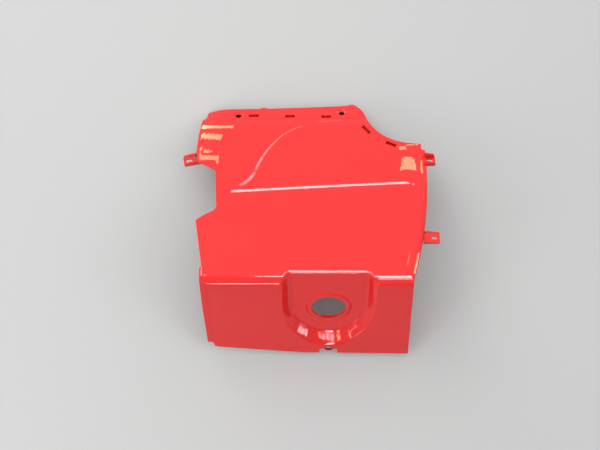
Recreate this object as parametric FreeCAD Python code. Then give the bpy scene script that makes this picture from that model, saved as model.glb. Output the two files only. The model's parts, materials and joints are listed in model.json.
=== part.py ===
import FreeCAD
import Part
import math
import os

Vector = FreeCAD.Vector
Rotation = FreeCAD.Rotation
Placement = FreeCAD.Placement

# A scooter side panel: one moulding of constant wall. All lengths are in millimetres.
# The panel is drawn with its large plate flat: X runs across it, Y up it and Z out of its face.
# Y = 0 is the sharp corner where the plate and the front wall would meet. The finished panel
# is then laid down on the foot of its front wall and its left hook, as it rests on a floor.

# Moulding
WALL = 2.5

# Plate, front wall and the bevelled fold between them
PLATE_LENGTH = 254.0
FOLD_ANGLE = 103.0
FOLD_BEVEL = 8.0
FOLD_ROUND = 8.0

# Top flange, bent down from the plate
FLANGE_BEND = 24.4
FLANGE_ROUND = 62.0

# Right side, turned down to a shallow flank
RIGHT_X = 158.0
FLARE_START_Y = -6.0
FLARE_ANGLE = 16.0
FLARE_RADIUS = 60.0
SIDE_RADIUS = 570.0
SIDE_END_ANGLE = -4.5
FLANK_ROUND = 9.0
FLANK_DEPTH = 15.0

# Upper corners that roll down from the plate: a point where the roll begins, the way it
# faces in plan (degrees from up the plate, positive to the left), its slope and its radius
LEFT_ROLL = dict(point=(-96.0, 247.0), facing=55.0, slope=36.0, radius=58.0)
RIGHT_ROLL = dict(point=(140.0, 190.0), facing=-62.0, slope=12.0, radius=58.0)

# Raised field on the plate: a crisp style line below, an S curve on the left, a ramp on the
# right, and a top that sinks back into the plate in two slopes that meet at the knee
FIELD_HEIGHT = 1.5
FIELD_KNEE = (225.0, 0.6)
FIELD_FADE_Y = 240.5
FIELD_START = (-97.0, 141.2)
FIELD_MIDDLE = (31.0, 149.1)
FIELD_END = (150.0, 155.9)
FIELD_TOP_RIGHT_X = 102.5
FIELD_TIP = 2.9
S_HEADINGS = (85.9, 20.4, 58.0)
S_RADII = (41.2, 145.9)
FIELD_BEVEL = 3.2
FIELD_SOFT = 5.5
FIELD_RAMP = 7.5
FIELD_ROUND = 1.2

# Pocket in the front wall: its rim in across and down-the-wall distances, and how much less
# each of them is at the pocket's floor
POCKET_DEPTH = 13.0
POCKET_RIM = dict(centre=40.6, half=67.1, shoulder=55.0, bottom=153.0, tip=46.0)
POCKET_DRAFT = dict(centre=1.0, half=11.7, shoulder=-11.0, bottom=19.5, tip=4.0)
POCKET_RIM_ROUND = 5.5
POCKET_FLOOR_ROUND = 6.0

# Round opening in the pocket and the low ring round it
OPENING_X = 40.7
OPENING_DOWN = 76.2
OPENING_DIAMETER = 50.0
RING_HEIGHT = 2.2
RING_TOP_DIAMETER = 59.0
RING_FOOT_DIAMETER = 65.0

# Screw seats in the top flange, by their distance across and beyond the bend, and the boss
# behind each
SEATS = [(-90.0, 17.3), (61.0, 24.1)]
SEAT_DIAMETER = 16.0
SEAT_FLOOR_DIAMETER = 11.5
SEAT_DEPTH = 2.2
SCREW_HOLE = 8.0
BOSS_DIAMETER = 12.5
BOSS_LENGTH = 7.5

# Clip slots in the flange (across and beyond the bend) and by the curved edge (across and up
# the plate, turn in plan, length and width), and the blind socket behind each
FLANGE_SLOTS = [(-67.6, 15.8), (-14.6, 14.4), (38.2, 13.6)]
SLOT_LENGTH = 14.0
SLOT_WIDTH = 6.5
CURVE_SLOTS = [(95.8, 241.0, -52.0, 17.0, 5.5), (131.2, 217.2, -22.0, 15.5, 5.0)]
SOCKET_WALL = 1.5
SOCKET_DEPTH = 8.0
SOCKET_ROOT = 2.1

# Left strip, stepped back so that the next panel laps over it: across the wall at two depths
STRIP_STEP = 2.0
STRIP_LINE = ((-130.1, 0.0), (-124.7, 147.3))

# Cut edge of the plate and top flange, seen square to the plate
LEFT_STRIP_X = -140.2
LOWER_LEFT = [(-140.2, 19.0), (-137.3, 24.0), (-147.1, 94.3)]
NOTCH_LOW = [(-135.4, 103.0), (-124.0, 108.6)]
NOTCH_LOW_ROUND = ((-124.0, 108.6), (-119.9, 112.9), (-118.8, 119.7))
NOTCH_SIDE = [(-118.8, 119.7), (-120.8, 166.0)]
NOTCH_HIGH_ROUND = ((-120.8, 166.0), (-121.9, 173.6), (-127.5, 178.6))
UPPER_LEFT = [(-127.5, 178.6), (-146.5, 188.0), (-149.4, 206.0), (-147.0, 242.0), (-143.5, 270.5)]
TOP_LEFT_STEP = [(-137.2, 271.5), (-135.0, 283.0)]
TOP_EDGE = ((-135.0, 283.0), (-40.0, 284.8), (80.5, 292.2))
SHOULDER_ROUND = ((80.5, 292.2), (89.3, 282.6), (95.2, 268.0))
CURVE_CUT = ((95.2, 268.0), (112.5, 238.2), (150.0, 222.0))
STEP_RIGHT = [(150.0, 222.0), (175.2, 221.8), (175.4, 213.5), (178.0, 211.5)]

# Cut edge of the front wall: across, and down from the fold
WALL_LEFT = [(-140.4, -20.0), (-138.2, 60.0), (-133.9, 147.3), (-126.0, 148.3)]
WALL_FOOT_ROUND = ((-126.0, 148.3), (-123.5, 154.0), (-117.0, 156.9))
WALL_FOOT_LEFT = (4.0, 171.0)
WALL_FOOT_RIGHT = (158.0, 174.0)
FOOT_NOTCH_X = 41.7
FOOT_NOTCH_WIDTH = 26.0
FOOT_NOTCH_HEIGHT = 10.0
FOOT_NOTCH_ROUND = 3.0

# Screw tongue behind the notch, and the arch in the wall that opens its hole to the front
TONGUE_SETBACK = 2.0
TONGUE_WIDTH = 14.0
TONGUE_TOP_DOWN = 150.0
TONGUE_HOLE_DOWN = 163.0
TONGUE_HOLE = 9.0
FOOT_ARCH_WIDTH = 12.4

# Hooks under the top edge: across, the edge's distance beyond the bend there, and how far
# the hook stands out and hangs down
LEFT_HOOK = dict(across=-53.0, edge=33.4, out=4.4, hang=4.0)
RIGHT_HOOK = dict(across=76.5, edge=41.4, out=4.4, hang=2.2)
HOOK_WIDTH = 8.0
HOOK_LENGTH = 9.0
HOOK_BITE = 1.0

# Mounting lugs below the level of the plate: the middle of the hole, the way the lug points,
# its reach from there back to its root and out to its tip, its width, the height of its side
# webs at root and tip, and the length and width of the hole
LUG_LEVEL = -12.0
LUG_THICKNESS = 2.5
LUG_WEB = 2.0
LUG_CORNER = 1.5
RIGHT_UPPER_LUG = dict(
    middle=(187.0, 196.4), points=4.0, back=8.0, out=8.2, width=15.6, webs=(12.0, 5.5), hole=(9.0, 5.0)
)
RIGHT_LOWER_LUG = dict(
    middle=(189.4, 72.6), points=0.0, back=15.4, out=7.6, width=17.4, webs=(5.0, 0.4), hole=(7.4, 5.4)
)
LEFT_LUG = dict(
    middle=(-159.8, 196.0), points=191.0, back=20.0, out=8.0, width=14.6, webs=(9.5, 5.0), hole=(9.4, 6.0)
)
LEFT_LUG_BACK_WEB = 18.0

# Limits well outside the panel, and the closeness that counts as touching
LEFT_END = -190.0
RIGHT_END = 230.0
TOP_END = 330.0
DEEP = 230.0
CUT_DEPTH = 20.0
CLOSE = 0.01


def wall_placement():
    return Placement(Vector(0, 0, 0), Rotation(Vector(1, 0, 0), 180.0 - FOLD_ANGLE))


def flange_placement():
    return Placement(Vector(0, PLATE_LENGTH, 0), Rotation(Vector(1, 0, 0), -FLANGE_BEND))


def line(start, end):
    return Part.LineSegment(Vector(*start, 0), Vector(*end, 0)).toShape()


def arc(start, middle, end):
    return Part.Arc(Vector(*start, 0), Vector(*middle, 0), Vector(*end, 0)).toShape()


def middle_of(edge):
    return edge.valueAt(0.5 * (edge.FirstParameter + edge.LastParameter))


def points_on(edge):
    return [vertex.Point for vertex in edge.Vertexes] + [middle_of(edge)]


def edges_where(shape, wanted):
    """Edges whose middle point passes a test."""
    return [edge for edge in shape.Edges if wanted(middle_of(edge))]


def chain(points):
    return [line(start, end) for start, end in zip(points, points[1:])]


def inset_corner(point, first, second, inset):
    """Moves a corner of the folded profile inwards, where two lines with these slopes meet."""
    n1 = Vector(0, math.sin(first), -math.cos(first))
    n2 = Vector(0, math.sin(second), -math.cos(second))
    step = (n1 + n2) * (inset / (1.0 + n1.dot(n2)))
    return Vector(0, point[0], point[1]) + step


def fold_volume(inset):
    """Solid under the flange, the plate, the bevelled fold and the front wall."""
    bend = math.radians(FLANGE_BEND)
    fold = math.radians(180.0 - FOLD_ANGLE)
    down = (-math.cos(fold), -math.sin(fold))
    path = [
        inset_corner((PLATE_LENGTH, 0.0), -bend, 0.0, inset),
        inset_corner((FOLD_BEVEL, 0.0), 0.0, 0.5 * fold, inset),
        inset_corner((FOLD_BEVEL * down[0], FOLD_BEVEL * down[1]), 0.5 * fold, fold, inset),
    ]
    reach = (TOP_END - PLATE_LENGTH) / math.cos(bend)
    end = path[0] + Vector(0, math.cos(bend), -math.sin(bend)) * reach
    drop = (DEEP + path[2].z) / math.sin(fold)
    foot = path[2] + Vector(0, down[0], down[1]) * drop
    outline = [end] + path + [foot, Vector(0, end.y, -DEEP)]
    profile = Part.Face(Part.makePolygon(outline + outline[:1]))
    solid = profile.extrude(Vector(RIGHT_END - LEFT_END, 0, 0))
    solid.translate(Vector(LEFT_END, 0, 0))
    for corner, radius in zip(path, (FLANGE_ROUND, FOLD_ROUND, FOLD_ROUND)):
        found = edges_where(solid, lambda m: abs(m.y - corner.y) + abs(m.z - corner.z) < CLOSE)
        if radius > inset:
            solid = solid.makeFillet(radius - inset, found)
    return solid


def roll_plane(point, facing, slope, radius):
    """Placement of the sloping plane beyond a rolled corner: local Y runs down the slope."""
    run = radius * math.tan(math.radians(0.5 * slope))
    turn = Placement(Vector(*point, 0), Rotation(Vector(0, 0, 1), facing))
    tilt = Placement(Vector(0, run, 0), Rotation(Vector(1, 0, 0), -slope))
    return turn.multiply(tilt)


def rolled(solid, roll, inset):
    """Cuts a corner off along a sloping plane and rounds it into the plate."""
    place = roll_plane(**roll)
    corner = Vector(-TOP_END, -TOP_END, -inset)
    block = Part.makeBox(2.0 * TOP_END, 2.0 * TOP_END, TOP_END, corner)
    block.Placement = place
    solid = solid.cut(block)
    back = place.inverse()
    margin = 2.0 * WALL

    def on_slope(edge):
        middle = middle_of(edge)
        flat = all(abs(back.multVec(point).z + inset) < CLOSE for point in points_on(edge))
        within = LEFT_END + margin < middle.x < RIGHT_END - margin
        return flat and within and middle.y < TOP_END - margin and middle.z > -0.5 * DEEP

    upper = [edge for edge in solid.Edges if on_slope(edge)]
    return solid.makeFillet(roll["radius"] - inset, upper)


def swept_arc(start, heading, end_heading, radius):
    """Plan arc that leaves at one heading and ends at another, both in degrees right of +Y."""
    side = 1.0 if end_heading > heading else -1.0
    h0, h1 = math.radians(heading), math.radians(end_heading)
    centre = (start[0] + side * radius * math.cos(h0), start[1] - side * radius * math.sin(h0))

    def at(h):
        return (centre[0] - side * radius * math.cos(h), centre[1] + side * radius * math.sin(h))

    return arc(start, at(0.5 * (h0 + h1)), at(h1)), at(h1)


def right_side(inset):
    """Everything to the left of the right flank and below the plate, its upper edge rounded."""
    start = (RIGHT_X, -TOP_END)
    flare_start = (RIGHT_X, FLARE_START_Y)
    flare, flare_end = swept_arc(flare_start, 0.0, FLARE_ANGLE, FLARE_RADIUS)
    side, side_end = swept_arc(flare_end, FLARE_ANGLE, SIDE_END_ANGLE, SIDE_RADIUS)
    top = (side_end[0] + math.tan(math.radians(SIDE_END_ANGLE)) * TOP_END, side_end[1] + TOP_END)
    wire = Part.Wire(
        [line(start, flare_start), flare, side]
        + chain([side_end, top, (-TOP_END, top[1]), (-TOP_END, -TOP_END), start])
    )
    if inset:
        wire = wire.makeOffset2D(-inset, 2)
    solid = Part.Face(wire).extrude(Vector(0, 0, -2.0 * DEEP))
    solid.translate(Vector(0, 0, -inset))
    upper = edges_where(solid, lambda m: abs(m.z + inset) < CLOSE and m.x > 0.5 * RIGHT_X)
    return solid.makeFillet(FLANK_ROUND - inset, upper)


def arc_about(centre, radius, start, end):
    """Arc between two directions given in radians."""
    points = [
        (centre[0] + radius * math.cos(a), centre[1] + radius * math.sin(a))
        for a in (start, 0.5 * (start + end), end)
    ]
    return arc(*points)


def field_outline(bevel, soft, ramp, level):
    """Plan outline of the raised field, widened on its three sides, at a height."""
    start = (FIELD_START[0] - soft / FIELD_SOFT, FIELD_START[1] - bevel)
    middle = (FIELD_MIDDLE[0], FIELD_MIDDLE[1] - bevel)
    end = (FIELD_END[0] + ramp, FIELD_END[1] - bevel)
    heading = math.radians(S_HEADINGS[0])
    tip = (
        FIELD_START[0] - soft * math.cos(heading),
        FIELD_START[1] + FIELD_TIP + soft * math.sin(heading),
    )
    first, knee = swept_arc(tip, S_HEADINGS[0], S_HEADINGS[1], S_RADII[0] - soft)
    second, crown = swept_arc(knee, S_HEADINGS[1], S_HEADINGS[2], S_RADII[1] + soft)
    corner = (FIELD_TOP_RIGHT_X + ramp, crown[1])
    wire = Part.Wire([
        arc(start, middle, end),
        line(end, corner),
        line(corner, crown),
        second,
        first,
        line(tip, start),
    ])
    wire.translate(Vector(0, 0, level))
    return wire


def raised_field(inset):
    """Bevelled pad whose top slopes down until it meets the plate."""
    widths = (FIELD_BEVEL, FIELD_SOFT, FIELD_RAMP)
    narrowed = [w - inset * math.tan(0.5 * math.atan2(FIELD_HEIGHT, w)) for w in widths]
    foot = [width + narrow for width, narrow in zip(widths, narrowed)]
    crest = [narrow - width for width, narrow in zip(widths, narrowed)]
    base = field_outline(*foot, -inset - FIELD_HEIGHT)
    top = field_outline(*crest, FIELD_HEIGHT - inset)
    pad = Part.makeLoft([base, top], True, True)
    top_line = [(FIELD_START[1], FIELD_HEIGHT), FIELD_KNEE, (FIELD_FADE_Y, 0.0)]
    for (near_y, near_z), (far_y, far_z) in zip(top_line, top_line[1:]):
        slope = math.degrees(math.atan2(near_z - far_z, far_y - near_y))
        above = Part.makeBox(2.0 * TOP_END, 2.0 * TOP_END, DEEP, Vector(-TOP_END, -TOP_END, 0))
        above.Placement = Placement(Vector(0, far_y, far_z - inset), Rotation(Vector(1, 0, 0), -slope))
        pad = pad.cut(above)
    corner = Vector(-TOP_END, FIELD_FADE_Y, -0.5 * DEEP)
    beyond = Part.makeBox(2.0 * TOP_END, TOP_END, DEEP, corner)
    return pad.cut(beyond)


def pocket_outline(level, grow):
    """U outline of the pocket at a level in front of (+) or behind (-) the wall face."""
    share = -level / POCKET_DEPTH
    size = {}
    for key, at_rim in POCKET_RIM.items():
        size[key] = at_rim - share * POCKET_DRAFT[key]
    centre = size["centre"]
    half = size["half"] + grow
    tip = size["tip"] + grow
    tip_y = -(size["bottom"] + grow) + tip
    shoulder_y = -size["shoulder"]
    rise = shoulder_y - tip_y
    side = (half ** 2 + rise ** 2 - tip ** 2) / (2.0 * (half - tip))
    lean = math.atan2(rise, side - half)
    top_y = 0.25 * DEEP
    left, right = centre - half, centre + half
    wire = Part.Wire([
        *chain([(right, top_y), (left, top_y), (left, shoulder_y)]),
        arc_about((left + side, shoulder_y), side, math.pi, math.pi + lean),
        arc_about((centre, tip_y), tip, math.pi + lean, 2.0 * math.pi - lean),
        arc_about((right - side, shoulder_y), side, -lean, 0.0),
        line((right, shoulder_y), (right, top_y)),
    ])
    wire.translate(Vector(0, 0, level))
    return wire


def pocket_tool(inset):
    """Material removed in front of the pocket floor, with drafted sides."""
    grow = inset * math.hypot(POCKET_DRAFT["half"], POCKET_DEPTH) / POCKET_DEPTH
    mouth = pocket_outline(0.5 * POCKET_DEPTH, grow)
    floor = pocket_outline(-POCKET_DEPTH - inset, grow)
    tool = Part.makeLoft([mouth, floor], True, True)
    tool.Placement = wall_placement()
    return tool


def surface_test(solid):
    """Tells whether a point lies on the surface of a solid."""
    skin = Part.Compound(solid.Faces)
    return lambda point: skin.distToShape(Part.Vertex(point))[0] < 2.0 * CLOSE


def pocketed(solid, inset):
    """Cuts the pocket through the wall and the fold, then rounds its floor and its rim."""
    tool = pocket_tool(inset)
    solid = solid.cut(tool)
    back = wall_placement().inverse()
    floor_level = -POCKET_DEPTH - inset
    reach = POCKET_RIM["half"] + 2.0 * FOLD_BEVEL

    def on_floor(edge):
        middle = middle_of(edge)
        flat = all(abs(back.multVec(p).z - floor_level) < CLOSE for p in points_on(edge))
        below = middle.z < -inset - WALL
        return flat and below and abs(middle.x - POCKET_RIM["centre"]) < reach

    floor_edges = [edge for edge in solid.Edges if on_floor(edge)]
    solid = solid.makeFillet(POCKET_FLOOR_ROUND + inset, floor_edges)
    on_fold = surface_test(fold_volume(inset))

    def on_rim(middle):
        near = abs(middle.x - POCKET_RIM["centre"]) < POCKET_RIM["half"] + FOLD_BEVEL
        in_front = middle.y < 2.0 * POCKET_DEPTH + FOLD_BEVEL
        return near and in_front and middle.z > -0.8 * DEEP and on_fold(middle)

    return solid.makeFillet(POCKET_RIM_ROUND - inset, edges_where(solid, on_rim))


def with_field(solid, inset):
    """Adds the raised field and rounds its style line."""
    solid = solid.fuse(raised_field(inset))
    most_of_it = 0.8 * (FIELD_END[0] - FIELD_START[0])

    def on_style_line(edge):
        middle = middle_of(edge)
        near = abs(middle.y - FIELD_MIDDLE[1]) < 2.0 * FIELD_BEVEL + inset
        high = abs(middle.z + inset - FIELD_HEIGHT) < 0.3 * FIELD_HEIGHT
        return near and high and edge.Length > most_of_it

    style_line = [edge for edge in solid.Edges if on_style_line(edge)]
    return solid.makeFillet(FIELD_ROUND, style_line)


def strip_tool(inset):
    """Slab in front of the stepped-back strip at the left end of the wall."""
    (top_x, top_down), (low_x, low_down) = STRIP_LINE
    slope = (low_x - top_x) / (low_down - top_down)
    high, low = 4.0 * FOLD_BEVEL, -1.1 * DEEP
    outside = LEFT_END - FOLD_BEVEL
    points = [
        Vector(outside, high, 0),
        Vector(outside, low, 0),
        Vector(top_x - slope * low + inset, low, 0),
        Vector(top_x - slope * high + inset, high, 0),
    ]
    profile = Part.Face(Part.makePolygon(points + points[:1]))
    tool = profile.extrude(Vector(0, 0, 4.0 * FOLD_BEVEL))
    tool.translate(Vector(0, 0, -STRIP_STEP - inset))
    tool.Placement = wall_placement().multiply(tool.Placement)
    return tool


def ring():
    """Low tapered ring round the opening, rooted in the pocket floor."""
    slope = 0.5 * (RING_FOOT_DIAMETER - RING_TOP_DIAMETER) / RING_HEIGHT
    root = 0.5 * WALL
    cone = Part.makeCone(
        0.5 * RING_FOOT_DIAMETER + slope * root, 0.5 * RING_TOP_DIAMETER, RING_HEIGHT + root,
        Vector(OPENING_X, -OPENING_DOWN, -POCKET_DEPTH - root),
    )
    cone.Placement = wall_placement()
    return cone


def seat_tool(across, beyond, inset):
    """Dished recess for a screw head in the top flange."""
    slope = 0.5 * (SEAT_DIAMETER - SEAT_FLOOR_DIAMETER) / SEAT_DEPTH
    grow = inset * math.tan(0.5 * math.atan(1.0 / slope))
    low = 0.5 * SEAT_FLOOR_DIAMETER + grow
    height = 2.0 * SEAT_DEPTH
    cone = Part.makeCone(low, low + slope * height, height)
    cone.translate(Vector(across, beyond, -SEAT_DEPTH - inset))
    cone.Placement = flange_placement().multiply(cone.Placement)
    return cone


def formed_volume(inset):
    """The panel as a solid block under one face of the moulding."""
    solid = fold_volume(inset)
    for roll in (LEFT_ROLL, RIGHT_ROLL):
        solid = rolled(solid, roll, inset)
    solid = solid.common(right_side(inset))
    solid = with_field(solid, inset)
    solid = pocketed(solid, inset)
    solid = solid.cut(strip_tool(inset))
    for across, beyond in SEATS:
        solid = solid.cut(seat_tool(across, beyond, inset))
    return solid


def plan_keep():
    """Block inside the cut edges of the plate and the top flange."""
    far = 2.0 * TOP_END
    front = -2.0 * FOLD_BEVEL
    start = (LEFT_STRIP_X, front)
    edges = chain([start] + LOWER_LEFT + NOTCH_LOW)
    edges.append(arc(*NOTCH_LOW_ROUND))
    edges += chain(NOTCH_SIDE)
    edges.append(arc(*NOTCH_HIGH_ROUND))
    edges += chain(UPPER_LEFT + TOP_LEFT_STEP)
    edges.append(arc(*TOP_EDGE))
    edges.append(arc(*SHOULDER_ROUND))
    edges.append(arc(*CURVE_CUT))
    around = [(far, STEP_RIGHT[-1][1]), (far, -far), (-far, -far), (-far, front), start]
    edges += chain(STEP_RIGHT + around)
    keep = Part.Face(Part.Wire(edges)).extrude(Vector(0, 0, 3.0 * DEEP))
    keep.translate(Vector(0, 0, -2.0 * DEEP))
    return keep


def wall_waste():
    """Block outside the cut edges of the front wall, no deeper than the wall needs."""
    far = 2.0 * TOP_END

    def local(point):
        return (point[0], -point[1])

    left = [local(point) for point in WALL_LEFT]
    foot_round = [local(point) for point in WALL_FOOT_ROUND]
    foot = [local(WALL_FOOT_LEFT), local(WALL_FOOT_RIGHT)]
    around = [(far, foot[1][1]), (far, -far), (-far, -far), (-far, far), (left[0][0], far)]
    edges = chain([(left[0][0], far)] + left)
    edges.append(arc(*foot_round))
    edges += chain([foot_round[2]] + foot + around)
    waste = Part.Face(Part.Wire(edges)).extrude(Vector(0, 0, 2.0 * CUT_DEPTH))
    waste.translate(Vector(0, 0, -CUT_DEPTH))
    waste.Placement = wall_placement().multiply(waste.Placement)
    return waste


def foot_y(across):
    """Level of the wall's foot in the wall's own plane."""
    share = (across - WALL_FOOT_LEFT[0]) / (WALL_FOOT_RIGHT[0] - WALL_FOOT_LEFT[0])
    return -(WALL_FOOT_LEFT[1] + share * (WALL_FOOT_RIGHT[1] - WALL_FOOT_LEFT[1]))


def drill(x, y, diameter):
    return Part.makeCylinder(0.5 * diameter, 2.0 * CUT_DEPTH, Vector(x, y, -CUT_DEPTH))


def slab(x, y, length, width):
    corner = Vector(x - 0.5 * length, y - 0.5 * width, -CUT_DEPTH)
    return Part.makeBox(length, width, 2.0 * CUT_DEPTH, corner)


def slotted_hole(x, y, length, width):
    """Through cutter with round ends along X, or a plain round one."""
    if length - width < CLOSE:
        return drill(x, y, width)
    end = 0.5 * (length - width)
    ends = [drill(x - end, y, width), drill(x + end, y, width)]
    return slab(x, y, 2.0 * end, width).fuse(ends).removeSplitter()


def clip_slots():
    """Placement, length and width of every clip slot."""
    slots = []
    for across, beyond in FLANGE_SLOTS:
        place = flange_placement().multiply(Placement(Vector(across, beyond, 0), Rotation()))
        slots.append((place, SLOT_LENGTH, SLOT_WIDTH))
    for across, up, turn, length, width in CURVE_SLOTS:
        place = Placement(Vector(across, up, 0), Rotation(Vector(0, 0, 1), turn))
        slots.append((place, length, width))
    return slots


def through_cuts():
    """Clip slots, screw holes, the round opening and the notch in the foot."""
    cuts = []
    for place, length, width in clip_slots():
        slot = slab(0.0, 0.0, length, width)
        slot.Placement = place
        cuts.append(slot)
    for across, beyond in SEATS:
        hole = drill(across, beyond, SCREW_HOLE)
        hole.Placement = flange_placement()
        cuts.append(hole)
    opening = drill(OPENING_X, -OPENING_DOWN, OPENING_DIAMETER)
    opening.Placement = wall_placement()
    cuts.append(opening)
    foot = foot_y(FOOT_NOTCH_X)
    notch = slab(FOOT_NOTCH_X, foot, FOOT_NOTCH_WIDTH, 2.0 * FOOT_NOTCH_HEIGHT)
    upper = edges_where(notch, lambda m: abs(m.z) < CLOSE and m.y > foot + CLOSE)
    notch = notch.makeFillet(FOOT_NOTCH_ROUND, upper)
    notch.Placement = wall_placement()
    cuts.append(notch)
    arch = slab(FOOT_NOTCH_X, 0.5 * (foot - TONGUE_HOLE_DOWN), FOOT_ARCH_WIDTH, -foot - TONGUE_HOLE_DOWN)
    arch = arch.fuse(drill(FOOT_NOTCH_X, -TONGUE_HOLE_DOWN, FOOT_ARCH_WIDTH))
    arch.Placement = wall_placement()
    cuts.append(arch)
    return cuts


def socket(place, length, width):
    """Blind socket behind a clip slot, open to the front."""
    def block(size_x, size_y, low, high):
        return Part.makeBox(size_x, size_y, high - low, Vector(-0.5 * size_x, -0.5 * size_y, low))

    around = 2.0 * SOCKET_WALL
    solid = block(length + around, width + around, -SOCKET_DEPTH, -SOCKET_ROOT)
    solid = solid.cut(block(length, width, SOCKET_WALL - SOCKET_DEPTH, 0.0))
    solid.Placement = place
    return solid


def boss(across, beyond):
    """Tube behind a screw seat, rooted in the floor of the seat."""
    low = -SEAT_DEPTH - BOSS_LENGTH
    top = -SEAT_DEPTH - 0.5 * WALL
    tube = Part.makeCylinder(0.5 * BOSS_DIAMETER, top - low, Vector(across, beyond, low))
    tube = tube.cut(drill(across, beyond, SCREW_HOLE))
    tube.Placement = flange_placement()
    return tube


def tongue():
    """Screw tongue set back behind the notch, carried by the foot of the pocket."""
    radius = 0.5 * TONGUE_WIDTH
    level = -TONGUE_SETBACK - WALL
    middle = Vector(FOOT_NOTCH_X, -TONGUE_HOLE_DOWN, level)
    length = TONGUE_HOLE_DOWN - TONGUE_TOP_DOWN
    strap = Part.makeBox(TONGUE_WIDTH, length, WALL, middle - Vector(radius, 0, 0))
    strap = strap.fuse(Part.makeCylinder(radius, WALL, middle))
    strap = strap.cut(drill(middle.x, middle.y, TONGUE_HOLE)).removeSplitter()
    strap.Placement = wall_placement()
    return strap


def hook(across, edge, out, hang):
    """Small hook under the top edge, standing out beyond it."""
    block = Part.makeBox(
        HOOK_WIDTH, HOOK_LENGTH + out, hang + HOOK_BITE,
        Vector(across - 0.5 * HOOK_WIDTH, edge - HOOK_LENGTH, -WALL - hang),
    )
    block.Placement = flange_placement()
    return block


def lug(middle, points, back, out, width, webs, hole):
    """Flat mounting lug with a tapering web along each side, drawn about its hole."""
    low = -0.5 * width
    solid = Part.makeBox(back + out, width, LUG_THICKNESS, Vector(-back, low, -LUG_THICKNESS))
    level = -0.5 * LUG_THICKNESS
    corners = edges_where(solid, lambda m: abs(m.x - out) < CLOSE and abs(m.z - level) < CLOSE)
    solid = solid.makeFillet(LUG_CORNER, corners)
    end = out - LUG_CORNER
    profile = Part.makePolygon([
        Vector(-back, 0, -LUG_THICKNESS),
        Vector(end, 0, -LUG_THICKNESS),
        Vector(end, 0, webs[1]),
        Vector(-back, 0, webs[0]),
        Vector(-back, 0, -LUG_THICKNESS),
    ])
    for start in (low, -low - LUG_WEB):
        web = Part.Face(profile).extrude(Vector(0, LUG_WEB, 0))
        web.translate(Vector(0, start, 0))
        solid = solid.fuse(web)
    solid = solid.cut(slotted_hole(0.0, 0.0, hole[0], hole[1]))
    solid.Placement = lug_placement(middle, points)
    return solid


def lug_placement(middle, points):
    return Placement(Vector(*middle, LUG_LEVEL), Rotation(Vector(0, 0, 1), points))


def left_lug_back():
    """Upright web that ties the left lug to the underside of the plate."""
    width = LEFT_LUG["width"]
    height = LUG_THICKNESS - LUG_LEVEL - 0.5 * WALL
    corner = Vector(-LEFT_LUG_BACK_WEB - LUG_WEB, -0.5 * width, -LUG_THICKNESS)
    web = Part.makeBox(LUG_WEB, width, height, corner)
    web.Placement = lug_placement(LEFT_LUG["middle"], LEFT_LUG["points"])
    return web


def flank_core():
    """Everything deeper than the right flank reaches, which stays open."""
    corner = Vector(RIGHT_X - 2.0 * FLANK_DEPTH, -DEEP, -1.5 * DEEP)
    beside = Part.makeBox(TOP_END, 2.0 * TOP_END, 2.0 * DEEP, corner)
    return fold_volume(FLANK_DEPTH).common(beside)


def side_panel():
    """The whole moulding, still with its plate flat."""
    shell = formed_volume(0.0).cut(formed_volume(WALL)).fuse(ring())
    shell = shell.cut(flank_core()).common(plan_keep()).cut(wall_waste())
    for cutter in through_cuts():
        shell = shell.cut(cutter)
    added = [
        tongue(),
        hook(**LEFT_HOOK),
        hook(**RIGHT_HOOK),
        left_lug_back(),
        lug(**LEFT_LUG),
        lug(**RIGHT_UPPER_LUG),
        lug(**RIGHT_LOWER_LUG),
        *[socket(*slot) for slot in clip_slots()],
        *[boss(*seat) for seat in SEATS],
    ]
    return shell.fuse(added).removeSplitter().Solids[0]


def laid_down(panel):
    """Turns the panel onto the feet it rests on: the wall's inner edge and the left hook."""
    wall = wall_placement()
    left_foot = wall.multVec(Vector(WALL_FOOT_LEFT[0], -WALL_FOOT_LEFT[1], -WALL))
    right_foot = wall.multVec(Vector(WALL_FOOT_RIGHT[0], -WALL_FOOT_RIGHT[1], -WALL))
    reach = LEFT_HOOK["edge"] + LEFT_HOOK["out"]
    hook_tip = flange_placement().multVec(
        Vector(LEFT_HOOK["across"], reach, -WALL - LEFT_HOOK["hang"])
    )
    right = (right_foot - left_foot).normalize()
    up = right.cross(hook_tip - left_foot).normalize()
    back = up.cross(right)
    turn = FreeCAD.Matrix(
        right.x, right.y, right.z, 0,
        back.x, back.y, back.z, 0,
        up.x, up.y, up.z, 0,
        0, 0, 0, 1,
    )
    laid = panel.copy()
    laid.Placement = Placement(turn).multiply(laid.Placement)
    box = laid.optimalBoundingBox(True, False)
    laid.translate(Vector(-box.Center.x, -box.Center.y, -box.ZMin))
    return laid


def main():
    os.makedirs("parts", exist_ok=True)
    laid_down(side_panel()).exportStep("parts/side_panel.step")


main()
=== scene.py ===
import bpy
import json
import math
from mathutils import Matrix, Vector
from mathutils.bvhtree import BVHTree
from mathutils.interpolate import poly_3d_calc as poly_weights

# A scooter side panel in gloss red plastic, lying like a tent on a pale studio floor and seen
# from almost straight above. All lengths are in metres, except where a name or comment says
# otherwise, and colours are in linear light.

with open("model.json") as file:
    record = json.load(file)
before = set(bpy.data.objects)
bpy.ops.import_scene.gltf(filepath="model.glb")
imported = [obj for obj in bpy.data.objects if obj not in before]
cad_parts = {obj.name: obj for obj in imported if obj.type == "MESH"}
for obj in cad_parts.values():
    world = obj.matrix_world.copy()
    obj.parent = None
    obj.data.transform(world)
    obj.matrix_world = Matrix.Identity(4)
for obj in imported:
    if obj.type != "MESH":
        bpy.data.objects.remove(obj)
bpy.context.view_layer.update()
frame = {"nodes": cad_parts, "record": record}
scene = bpy.context.scene

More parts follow.
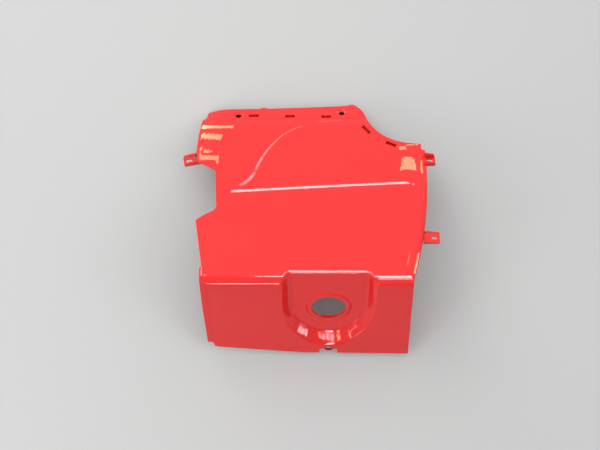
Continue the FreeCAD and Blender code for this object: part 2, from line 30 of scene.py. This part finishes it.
# Camera: where it stands, the floor point it looks at, its roll, and the furthest that it sees.
# The lens and the sensor are in millimetres, and the picture is in pixels.
CAMERA_PLACE = Vector((-0.0474, -0.0920, 2.3223))
CAMERA_LOOKS_AT = Vector((-0.0125, 0.0042, 0.0))
CAMERA_ROLL = Vector((-0.0118, 1.0, 0.0))
CAMERA_SEES_TO = 20.0
CAMERA_LENS = 94.56
SENSOR_WIDTH = 36.0
PICTURE = (600, 450)

# Plastic: its red, and the factors between which its tone drifts
RED = (0.80, 0.018, 0.018)
TONE_DARK = (0.98, 0.95, 0.95)
TONE_LIGHT = (1.02, 1.05, 1.05)
TONE_SCALE = 9.0
TONE_DETAIL = 3.0

# Painted shade: the darker red painted on faces that look down, mostly the inner skin, and the upward part
# of the normal where it starts and is complete
UNDERSIDE_SHADE_RED = (0.42, 0.010, 0.010)
UNDERSIDE_SHADE_FACING = (-0.02, -0.15)

# Painted shade in hollows: how far they look for walls, how open they are when they are painted dark and
# when they aren't, how dark the painted shade turns, and its red
HOLLOW_SHADE_REACH = 0.012
HOLLOW_SHADE_SAMPLES = 8
HOLLOW_SHADE_OPENNESS = (0.10, 0.42)
HOLLOW_SHADE_STRENGTH = 0.30
HOLLOW_SHADE_RED = (0.10, 0.003, 0.003)

# Screw holes, painted near black inside as painted shade: middle, axis and radius, from the record's bores,
# then the painted black, and how far past the radius the painted shade ends
SCREW_HOLES = [
    (mount["pos_m"], mount["axis"], 0.001 * mount["dims"]["r_mm"])
    for mount in frame["record"]["mounts"]
    if "screw_hole" in mount["name"]
]
HOLE_SHADE_BLACK = (0.006, 0.002, 0.002)
HOLE_SHADE_FADE = (0.0002, 0.0001)

# Gloss: its roughness, the fine flow of the moulded skin, and the rounding of cut edges
PLASTIC_IOR = 1.5
ROUGHNESS = (0.045, 0.07)
FLOW_SCALE = 260.0
FLOW_DETAIL = 2.0
FLOW_STRENGTH = 0.05
FLOW_DEPTH = 0.0002
EDGE_ROUNDING = 0.00035
EDGE_SAMPLES = 4

# Skin: angles in degrees at which it keeps a sharp edge, how near two corners of neighbouring
# faces are, and how much face numbers differ across an edge between two faces
SHARP_BETWEEN_FACES = 13.0
SHARP_ANYWHERE = 70.0
MERGE_WITHIN = 0.00001
LEAST_DIFFERENCE = 0.1

# Floor: half its width, its colour and the factors between which it drifts, and a faint glow
FLOOR_HALF = 6.0
FLOOR_COLOUR = (0.470, 0.471, 0.468)
FLOOR_DARK = (0.985, 0.985, 0.985)
FLOOR_LIGHT = (1.015, 1.015, 1.015)
FLOOR_SCALE = 1.3
FLOOR_DETAIL = 2.0
FLOOR_ROUGHNESS = 0.85
FLOOR_GLOW = 0.05

# Studio surroundings: colour, brightness straight up, and how it grows towards +Y and -X
SKY_COLOUR = (0.97, 0.99, 1.0)
SKY_BASE = 0.68
SKY_TOWARDS_Y = 0.34
SKY_TOWARDS_LEFT = 0.08

# Soft lights: place, aimed point, size, brightness of the surface, and what they serve, which
# is the light on the floor and the plastic, or only the gloss
WHITE = (1.0, 0.99, 0.98)
PANEL_MIDDLE = (0.0, 0.0, 0.05)
LIGHTS = {
    "key": ((-0.8, 1.1, 1.1), PANEL_MIDDLE, (0.9, 0.9), 2.9, "diffuse"),
    "ceiling": ((-0.2, 0.8, 1.7), PANEL_MIDDLE, (2.2, 2.2), 1.0, "diffuse"),
    "fill": ((-1.0, -0.75, 0.7), PANEL_MIDDLE, (0.7, 0.7), 3.4, "diffuse"),
    "fill_right": ((1.1, -0.2, 1.4), PANEL_MIDDLE, (0.9, 0.8), 2.2, "diffuse"),
    "overhead": ((0.145, -0.03, 2.6), (0.145, -0.03, 0.1), (0.63, 0.86), 16.0, "gloss"),
    "overhead_right": ((0.335, -0.66, 2.6), (0.1, 0.0, 0.1), (0.33, 0.82), 11.0, "gloss"),
    "front": ((-0.05, -1.3, 1.0), (-0.1, -0.1, 0.1), (0.36, 0.32), 22.0, "gloss"),
}

# Windows and lamps that the gloss mirrors. Each is one or more small area lights that serve
# only the gloss, placed so that the camera sees them mirrored in the quads below, which are in
# pixels of the picture, clockwise from the top left. Before the quads come how far from the
# panel the lights stand, their colour, their brightness, and how many columns a quad has. Where
# a place of the picture follows the quads, their lights take its direction.
WARM = (1.0, 0.56, 0.27)
AMBER = (1.0, 0.78, 0.47)
PINK = (1.0, 0.93, 0.95)
CLOSE = 0.006
BY_ROLL = 0.02
OVER_POCKET = 0.32
RIGHT_FLAT = (411.0, 163.0)
MIRRORED = {
    "arch": (CLOSE, WARM, 15.0, 1, [
        ((400.4, 163.0), (415.6, 163.3), (416.8, 170.8), (400.0, 169.8)),
        ((402.4, 158.6), (413.8, 158.6), (415.6, 163.3), (400.4, 163.0)),
        ((405.0, 156.8), (411.4, 156.8), (413.8, 158.6), (402.4, 158.6)),
    ], RIGHT_FLAT),
    "arch_edge": (0.004, WARM, 14.0, 1, [
        ((420.8, 160.2), (421.8, 160.2), (422.3, 164.6), (420.4, 164.6)),
        ((420.4, 164.6), (422.3, 164.6), (422.8, 169.0), (420.2, 169.0)),
        ((420.2, 169.0), (422.8, 169.0), (423.2, 173.6), (421.6, 172.6)),
    ]),
    "upper_pane": (CLOSE, WARM, 13.0, 1, [
        ((399.0, 146.4), (405.0, 146.4), (407.3, 149.4), (399.0, 149.6)),
    ], RIGHT_FLAT),
    "upper_line": (CLOSE, WARM, 16.0, 1, [
        ((406.0, 144.8), (418.4, 144.1), (418.4, 145.3), (406.0, 145.3)),
    ], RIGHT_FLAT),
    "bar_1": (BY_ROLL, WARM, 15.0, 6, [((202.2, 125.2), (233.4, 125.6), (233.4, 128.2), (202.0, 128.6))]),
    "bar_2": (BY_ROLL, WARM, 15.0, 5, [((201.2, 133.4), (223.0, 134.7), (220.2, 140.2), (201.0, 138.2))]),
    "bar_3": (BY_ROLL, WARM, 15.0, 3, [((204.0, 149.2), (213.8, 150.8), (207.5, 153.0), (204.0, 152.4))]),
    "post": (BY_ROLL, WARM, 13.0, 1, [((199.8, 147.6), (201.9, 147.6), (201.9, 158.0), (198.6, 160.6))]),
    "bar_4": (BY_ROLL, WARM, 14.0, 4, [
        ((201.4, 155.4), (218.6, 155.7), (218.9, 159.8), (200.4, 160.2)),
        ((215.0, 159.8), (218.9, 159.8), (217.8, 163.8), (216.8, 163.2)),
    ]),
    "flank_edge": (0.012, AMBER, 11.0, 1, [
        ((418.0, 252.8), (419.5, 252.8), (415.2, 273.6), (413.4, 273.6)),
    ]),
    "flank_streak": (CLOSE, AMBER, 4.5, 1, [
        ((409.2, 252.4), (410.8, 252.4), (408.0, 264.4), (407.2, 264.4)),
    ]),
    "rim_line": (CLOSE, WHITE, 13.0, 8, [((288.0, 271.1), (368.0, 271.2), (368.4, 272.2), (288.0, 272.0))]),
    "rim_left": (CLOSE, PINK, 8.0, 1, [((280.6, 276.4), (286.2, 271.2), (287.2, 271.9), (281.8, 277.2))]),
    "rim_right": (CLOSE, PINK, 8.0, 1, [((368.6, 271.3), (369.8, 271.3), (376.2, 277.6), (375.0, 278.0))]),
    "fold_right": (CLOSE, PINK, 7.0, 4, [((378.0, 276.9), (412.4, 276.9), (412.2, 279.6), (379.6, 279.8))]),
    "corner_glint": (CLOSE, PINK, 8.0, 1, [
        ((200.9, 266.4), (202.0, 266.4), (201.8, 276.0), (200.6, 276.0)),
        ((203.8, 274.4), (205.8, 274.2), (205.8, 276.0), (204.0, 276.2)),
    ]),
    "seat_glint": (CLOSE, WHITE, 5.0, 1, [
        ((241.2, 112.2), (243.4, 112.8), (242.9, 115.2), (242.0, 114.2)),
        ((344.4, 109.4), (346.6, 109.8), (346.2, 112.0), (345.2, 111.2)),
    ]),
    "flange_streak": (CLOSE, PINK, 1.1, 1, [
        ((318.0, 121.4), (342.5, 119.4), (342.5, 120.4), (318.0, 122.4)),
    ]),
    "line_dot": (CLOSE, WHITE, 12.0, 1, [((412.3, 183.5), (413.8, 183.4), (413.9, 185.1), (412.4, 185.2))]),
    "curve_tip": (CLOSE, PINK, 3.2, 1, [
        ((284.4, 133.0), (296.0, 127.4), (296.4, 128.3), (285.0, 134.0)),
        ((296.0, 127.4), (303.0, 125.6), (303.0, 126.2), (296.4, 128.3)),
    ]),
    "pane_1": (OVER_POCKET, PINK, 13.0, 3, [
        ((299.1, 325.4), (308.6, 329.9), (306.2, 336.2), (297.0, 330.8)),
    ]),
    "pane_2": (OVER_POCKET, PINK, 12.0, 3, [
        ((321.0, 333.6), (335.0, 333.6), (334.5, 340.8), (321.0, 338.6)),
    ]),
    "pane_2_edge": (OVER_POCKET, AMBER, 12.0, 1, [
        ((318.4, 333.6), (321.0, 333.6), (321.0, 338.6), (318.6, 337.0)),
    ]),
    "pane_3": (OVER_POCKET, AMBER, 13.0, 1, [
        ((336.6, 333.3), (340.0, 333.3), (341.0, 340.4), (337.2, 341.0)),
    ]),
    "pane_4": (OVER_POCKET, PINK, 9.0, 2, [
        ((348.6, 330.6), (357.4, 324.8), (357.8, 326.0), (349.0, 331.8)),
        ((351.0, 337.4), (361.6, 330.6), (362.2, 332.0), (351.4, 338.8)),
    ]),
    "pane_4_edge": (OVER_POCKET, AMBER, 10.0, 1, [
        ((348.6, 332.0), (350.2, 332.0), (351.6, 337.4), (350.0, 337.4)),
    ]),
}

# The long lamp that the raised field's curved bevel mirrors: the bevel's line in the picture,
# how far from the panel it stands, how wide it is, and its brightness
CURVE = [
    (239.2, 183.9), (243.0, 183.2), (247.0, 181.4), (250.6, 178.6), (252.9, 175.5), (255.9, 170.0),
    (257.9, 164.0), (261.9, 158.0), (265.9, 152.0), (270.9, 146.0), (277.2, 140.0), (283.5, 134.1),
]
CURVE_REACH = 0.45
CURVE_WIDTH = 0.022
CURVE_GLOW = 5.6

# No mirrored light stands lower than this. Those further off than a limit have a narrow beam,
# so that they show at their own place alone.
FLOOR_GAP = 0.004
NARROW_BEYOND = 0.2
NARROW_SPREAD = math.radians(12.0)


def aimed(place, target, up):
    """Rotation that looks from one point to another, with a chosen direction upwards."""
    forward = (Vector(target) - Vector(place)).normalized()
    right = forward.cross(Vector(up)).normalized()
    above = right.cross(forward)
    turn = Matrix((right, above, -forward)).transposed().to_4x4()
    return Matrix.Translation(Vector(place)) @ turn


def add_camera():
    data = bpy.data.cameras.new("camera")
    data.lens = CAMERA_LENS
    data.sensor_width = SENSOR_WIDTH
    data.clip_end = CAMERA_SEES_TO
    camera = bpy.data.objects.new("camera", data)
    scene.collection.objects.link(camera)
    camera.matrix_world = aimed(CAMERA_PLACE, CAMERA_LOOKS_AT, CAMERA_ROLL)
    scene.camera = camera


def add_area_light(name, matrix, size, glow, colour, serves, narrow=False):
    """Rectangular light that the camera doesn't see. Its glow is the brightness of its surface."""
    data = bpy.data.lights.new(name, "AREA")
    data.shape = "RECTANGLE"
    data.size = size[0]
    data.size_y = size[1]
    data.energy = glow * math.pi * size[0] * size[1]
    if narrow:
        half = 0.5 * NARROW_SPREAD
        data.spread = NARROW_SPREAD
        data.energy *= (math.tan(half) - half) / math.tan(half)
    data.color = colour
    light = bpy.data.objects.new(name, data)
    scene.collection.objects.link(light)
    light.matrix_world = matrix
    light.visible_camera = False
    light.visible_diffuse = serves == "diffuse"
    light.visible_glossy = serves == "gloss"


def add_soft_light(name, place, aim, size, glow, serves):
    add_area_light(name, aimed(place, aim, (0.0, 1.0, 0.0)), size, glow, WHITE, serves)


class Mirror:
    """The finished panel as the camera sees it, for finding what its gloss mirrors."""

    def __init__(self, panel):
        finished = panel.evaluated_get(bpy.context.evaluated_depsgraph_get())
        mesh = finished.to_mesh()
        mesh.calc_loop_triangles()
        self.places = [finished.matrix_world @ vertex.co for vertex in mesh.vertices]
        self.corners = [tuple(triangle.vertices) for triangle in mesh.loop_triangles]
        self.normals = [
            [Vector(mesh.corner_normals[loop].vector) for loop in triangle.loops]
            for triangle in mesh.loop_triangles
        ]
        self.tree = BVHTree.FromPolygons(self.places, self.corners)
        finished.to_mesh_clear()

    def bounce(self, x, y):
        """Place of the panel seen at a point of the picture, and where the view goes on to."""
        camera = scene.camera.matrix_world
        lens = CAMERA_LENS / SENSOR_WIDTH * PICTURE[0]
        across = (x - PICTURE[0] / 2) / lens
        up = (PICTURE[1] / 2 - y) / lens
        ray = (camera.to_3x3() @ Vector((across, up, -1.0))).normalized()
        hit, _, triangle, _ = self.tree.ray_cast(camera.translation, ray)
        if hit is None:
            raise ValueError("no panel at %.1f, %.1f" % (x, y))
        weights = poly_weights([self.places[corner] for corner in self.corners[triangle]], hit)
        normal = sum((w * n for w, n in zip(weights, self.normals[triangle])), Vector()).normalized()
        return hit, ray - 2.0 * ray.dot(normal) * normal

    def seen(self, x, y, reach, flat_at=None):
        """Point that the camera sees mirrored at a place in the picture, at a chosen distance.

        A flat light takes its direction from one place of the picture for all its corners.
        """
        hit, direction = self.bounce(x, y)
        if flat_at is not None:
            direction = self.bounce(*flat_at)[1]
        if direction.z < 0.0:
            reach = min(reach, (hit.z - FLOOR_GAP) / -direction.z)
        return hit + reach * direction


def add_gloss_light(name, corners, hit, colour, glow):
    """Area light over four corners that shines at a place of the panel, for the gloss alone.

    A light near the panel lies in the plane of its corners, and its longer middle line keeps
    its direction. One far off faces the place.
    """
    top_left, top_right, low_right, low_left = corners
    middle = 0.25 * (top_left + top_right + low_right + low_left)
    across = 0.5 * (top_right + low_right - top_left - low_left)
    up = 0.5 * (top_left + top_right - low_right - low_left)
    away = across.cross(up).normalized()
    if away.dot(middle - hit) < 0.0:
        away = -away
    far = (middle - hit).length > NARROW_BEYOND
    if far:
        away = (middle - hit).normalized()
        across -= away * across.dot(away)
        up -= away * up.dot(away)
    side = across.normalized()
    above = away.cross(side)
    if up.length > across.length:
        above = up.normalized()
        side = above.cross(away)
    matrix = Matrix.Translation(middle) @ Matrix((side, above, away)).transposed().to_4x4()
    size = (abs(across.dot(side)), abs(up.dot(above)))
    add_area_light(name, matrix, size, glow, colour, "gloss", narrow=far)


def add_mirrored_lights(name, mirror, reach, colour, glow, columns, quads, flat_at=None):
    """Lights that the camera sees mirrored in the given quads of the picture."""
    for quad in quads:
        top_left, top_right, low_right, low_left = [Vector(corner) for corner in quad]
        for column in range(columns):
            start = column / columns
            end = (column + 1) / columns
            part = (
                top_left.lerp(top_right, start),
                top_left.lerp(top_right, end),
                low_left.lerp(low_right, end),
                low_left.lerp(low_right, start),
            )
            corners = [mirror.seen(*place, reach, flat_at) for place in part]
            middle = 0.25 * sum(part, Vector((0.0, 0.0)))
            add_gloss_light(name, corners, mirror.bounce(*middle)[0], colour, glow)


def add_mirrored_ribbon(name, mirror, reach, colour, glow, line, width):
    """Row of lights that the camera sees mirrored along a line of the picture."""
    middle = [mirror.seen(x, y, reach) for x, y in line]
    start = [mirror.bounce(x, y)[0] for x, y in line]
    rims = []
    for index, place in enumerate(middle):
        along = middle[min(index + 1, len(middle) - 1)] - middle[max(index - 1, 0)]
        across = 0.5 * width * along.cross(place - start[index]).normalized()
        rims.append((place - across, place + across))
    for hit, (low_start, high_start), (low_end, high_end) in zip(start, rims, rims[1:]):
        add_gloss_light(name, (low_start, low_end, high_end, high_start), hit, colour, glow)


def add_world():
    """Pale surroundings that are a little brighter behind and to the left of the panel."""
    world = bpy.data.worlds.new("studio")
    world.use_nodes = True
    nodes = world.node_tree.nodes
    links = world.node_tree.links
    place = nodes.new("ShaderNodeTexCoord")
    lean = nodes.new("ShaderNodeVectorMath")
    lean.operation = "DOT_PRODUCT"
    lean.inputs[1].default_value = (-SKY_TOWARDS_LEFT, SKY_TOWARDS_Y, 0.0)
    level = nodes.new("ShaderNodeMath")
    level.operation = "ADD"
    level.inputs[1].default_value = SKY_BASE
    links.new(place.outputs["Generated"], lean.inputs[0])
    links.new(lean.outputs["Value"], level.inputs[0])
    background = nodes["Background"]
    background.inputs["Color"].default_value = (*SKY_COLOUR, 1.0)
    links.new(level.outputs["Value"], background.inputs["Strength"])
    scene.world = world


def new_material(name):
    """Material with its node tree, its shader, and the place on the object as an output."""
    material = bpy.data.materials.new(name)
    material.use_nodes = True
    tree = material.node_tree
    place = tree.nodes.new("ShaderNodeTexCoord").outputs["Object"]
    return material, tree, tree.nodes["Principled BSDF"], place


def scaled(colour, factors):
    """Colour whose parts are multiplied by factors."""
    return [part * factor for part, factor in zip(colour, factors)]


def noise(tree, place, scale, detail):
    """Soft random pattern in the object's own space."""
    node = tree.nodes.new("ShaderNodeTexNoise")
    node.inputs["Scale"].default_value = scale
    node.inputs["Detail"].default_value = detail
    tree.links.new(place, node.inputs["Vector"])
    return node.outputs["Fac"]


def ranged(tree, value, source=(0.0, 1.0), result=(0.0, 1.0)):
    """Number that follows a value from one range to another and stays inside it."""
    node = tree.nodes.new("ShaderNodeMapRange")
    node.inputs["From Min"].default_value = source[0]
    node.inputs["From Max"].default_value = source[1]
    node.inputs["To Min"].default_value = result[0]
    node.inputs["To Max"].default_value = result[1]
    tree.links.new(value, node.inputs["Value"])
    return node.outputs["Result"]


def mixed(tree, factor, first, second):
    """Blend of two colours. The first is three numbers or an output, and the second three numbers."""
    node = tree.nodes.new("ShaderNodeMix")
    node.data_type = "RGBA"
    tree.links.new(factor, node.inputs["Factor"])
    if isinstance(first, bpy.types.NodeSocket):
        tree.links.new(first, node.inputs["A"])
    else:
        node.inputs["A"].default_value = (*first, 1.0)
    node.inputs["B"].default_value = (*second, 1.0)
    return node.outputs["Result"]


def vector_maths(tree, operation, first, second=None):
    node = tree.nodes.new("ShaderNodeVectorMath")
    node.operation = operation
    tree.links.new(first, node.inputs[0])
    if second is not None:
        node.inputs[1].default_value = second
    return node


def floor_material():
    """Matt paper whose tone drifts a little."""
    material, tree, shader, place = new_material("floor_paper")
    shader.inputs["Roughness"].default_value = FLOOR_ROUGHNESS
    shader.inputs["Specular IOR Level"].default_value = 0.0
    shader.inputs["Emission Color"].default_value = (1.0, 1.0, 1.0, 1.0)
    shader.inputs["Emission Strength"].default_value = FLOOR_GLOW
    drift = noise(tree, place, FLOOR_SCALE, FLOOR_DETAIL)
    colour = mixed(tree, drift, scaled(FLOOR_COLOUR, FLOOR_DARK), scaled(FLOOR_COLOUR, FLOOR_LIGHT))
    tree.links.new(colour, shader.inputs["Base Color"])
    return material


def add_floor():
    mesh = bpy.data.meshes.new("floor")
    corners = [
        (FLOOR_HALF * across, FLOOR_HALF * along, 0.0)
        for across, along in ((-1, -1), (1, -1), (1, 1), (-1, 1))
    ]
    mesh.from_pydata(corners, [], [(0, 1, 2, 3)])
    mesh.materials.append(floor_material())
    floor = bpy.data.objects.new("floor", mesh)
    scene.collection.objects.link(floor)


def hole_painted_shade(tree, place, colour, spot, axis, radius):
    """Colour painted nearly black inside a screw hole, as painted shade where no light reaches."""
    offset = vector_maths(tree, "SUBTRACT", place, spot)
    across = vector_maths(tree, "CROSS_PRODUCT", offset.outputs["Vector"], axis)
    far = vector_maths(tree, "LENGTH", across.outputs["Vector"])
    inside = ranged(tree, far.outputs["Value"], [radius + fade for fade in HOLE_SHADE_FADE])
    return mixed(tree, inside, colour, HOLE_SHADE_BLACK)


def red_plastic():
    """Gloss moulded plastic with a faint flow in its surface and rounded cut edges, with painted shade in
    its colour on faces that look down, in hollows and in screw holes.
    """
    material, tree, shader, place = new_material("gloss_red_plastic")
    nodes = tree.nodes
    links = tree.links
    shader.inputs["IOR"].default_value = PLASTIC_IOR
    tone = noise(tree, place, TONE_SCALE, TONE_DETAIL)
    colour = mixed(tree, tone, scaled(RED, TONE_DARK), scaled(RED, TONE_LIGHT))

    # Painted shade: faces that look down, mostly the inner skin, are painted a darker red, and enclosed
    # hollows are painted darker still
    facing = nodes.new("ShaderNodeNewGeometry")
    height = nodes.new("ShaderNodeSeparateXYZ")
    links.new(facing.outputs["True Normal"], height.inputs["Vector"])
    colour = mixed(tree, ranged(tree, height.outputs["Z"], UNDERSIDE_SHADE_FACING), colour, UNDERSIDE_SHADE_RED)
    # Painted shade in hollows, stronger where walls enclose a point
    hollow_shade_test = nodes.new("ShaderNodeAmbientOcclusion")
    hollow_shade_test.samples = HOLLOW_SHADE_SAMPLES
    hollow_shade_test.inputs["Distance"].default_value = HOLLOW_SHADE_REACH
    hollow_shade_amount = ranged(tree, hollow_shade_test.outputs["AO"], HOLLOW_SHADE_OPENNESS, (HOLLOW_SHADE_STRENGTH, 0.0))
    colour = mixed(tree, hollow_shade_amount, colour, HOLLOW_SHADE_RED)
    # Painted shade inside each screw hole
    for spot, axis, radius in SCREW_HOLES:
        colour = hole_painted_shade(tree, place, colour, spot, axis, radius)
    links.new(colour, shader.inputs["Base Color"])
    links.new(ranged(tree, tone, result=ROUGHNESS), shader.inputs["Roughness"])

    edge = nodes.new("ShaderNodeBevel")
    edge.samples = EDGE_SAMPLES
    edge.inputs["Radius"].default_value = EDGE_ROUNDING
    bump = nodes.new("ShaderNodeBump")
    bump.inputs["Strength"].default_value = FLOW_STRENGTH
    bump.inputs["Distance"].default_value = FLOW_DEPTH
    links.new(noise(tree, place, FLOW_SCALE, FLOW_DETAIL), bump.inputs["Height"])
    links.new(edge.outputs["Normal"], bump.inputs["Normal"])
    links.new(bump.outputs["Normal"], shader.inputs["Normal"])
    return material


def smoothing_nodes():
    """Joins the faces of the solid's skin into one smooth surface with real edges only.

    An edge stays sharp where two different faces of the solid meet at a visible angle. Inside
    one face, such as a fillet, the skin is always smooth. The edge lies between two faces when
    the mean of its neighbours' squared numbers differs from the square of their mean.
    """
    group = bpy.data.node_groups.new("smooth_skin", "GeometryNodeTree")
    group.interface.new_socket("Geometry", in_out="INPUT", socket_type="NodeSocketGeometry")
    group.interface.new_socket("Geometry", in_out="OUTPUT", socket_type="NodeSocketGeometry")
    nodes = group.nodes
    links = group.links

    def maths(operation, first, second):
        node = nodes.new("ShaderNodeMath")
        node.operation = operation
        for socket, value in zip(node.inputs, (first, second)):
            if isinstance(value, (int, float)):
                socket.default_value = value
            else:
                links.new(value, socket)
        return node.outputs[0]

    def on_domain(domain, field):
        node = nodes.new("GeometryNodeFieldOnDomain")
        node.domain = domain
        links.new(field, node.inputs[0])
        return node.outputs[0]

    given = nodes.new("NodeGroupInput")
    island = nodes.new("GeometryNodeInputMeshIsland").outputs["Island Index"]
    number = nodes.new("GeometryNodeStoreNamedAttribute")
    number.domain = "FACE"
    number.data_type = "FLOAT"
    number.inputs["Name"].default_value = "solid_face"
    links.new(given.outputs[0], number.inputs["Geometry"])
    links.new(island, number.inputs["Value"])
    merge = nodes.new("GeometryNodeMergeByDistance")
    merge.inputs["Distance"].default_value = MERGE_WITHIN
    links.new(number.outputs["Geometry"], merge.inputs["Geometry"])

    stored = nodes.new("GeometryNodeInputNamedAttribute")
    stored.data_type = "FLOAT"
    stored.inputs["Name"].default_value = "solid_face"
    face_number = stored.outputs["Attribute"]
    face_square = maths("MULTIPLY", face_number, face_number)
    mean = on_domain("EDGE", on_domain("FACE", face_number))
    squares = on_domain("EDGE", on_domain("FACE", face_square))
    difference = maths("SUBTRACT", squares, maths("MULTIPLY", mean, mean))
    between = maths("GREATER_THAN", difference, LEAST_DIFFERENCE)

    angle = nodes.new("GeometryNodeInputMeshEdgeAngle").outputs["Unsigned Angle"]
    visible = maths("GREATER_THAN", angle, math.radians(SHARP_BETWEEN_FACES))
    folded = maths("GREATER_THAN", angle, math.radians(SHARP_ANYWHERE))
    sharp = maths("MAXIMUM", maths("MULTIPLY", between, visible), folded)
    smooth = nodes.new("GeometryNodeSetShadeSmooth")
    smooth.domain = "EDGE"
    links.new(merge.outputs["Geometry"], smooth.inputs["Geometry"])
    links.new(maths("LESS_THAN", sharp, 0.5), smooth.inputs["Shade Smooth"])
    result = nodes.new("NodeGroupOutput")
    links.new(smooth.outputs["Geometry"], result.inputs[0])
    return group


def finish_panel(panel):
    material = red_plastic()
    for slot in panel.material_slots:
        slot.material = material
    smooth = panel.modifiers.new("smooth_skin", "NODES")
    smooth.node_group = smoothing_nodes()
    even = panel.modifiers.new("even_normals", "WEIGHTED_NORMAL")
    even.mode = "FACE_AREA"
    even.weight = 100
    even.keep_sharp = True


scene.view_settings.view_transform = "Standard"
add_camera()
add_world()
for light_name, settings in LIGHTS.items():
    add_soft_light(light_name, *settings)
add_floor()
side_panel = frame["nodes"]["side_panel"]
finish_panel(side_panel)
panel_mirror = Mirror(side_panel)
for light_name, settings in MIRRORED.items():
    add_mirrored_lights(light_name, panel_mirror, *settings)
add_mirrored_ribbon("curve", panel_mirror, CURVE_REACH, PINK, CURVE_GLOW, CURVE, CURVE_WIDTH)
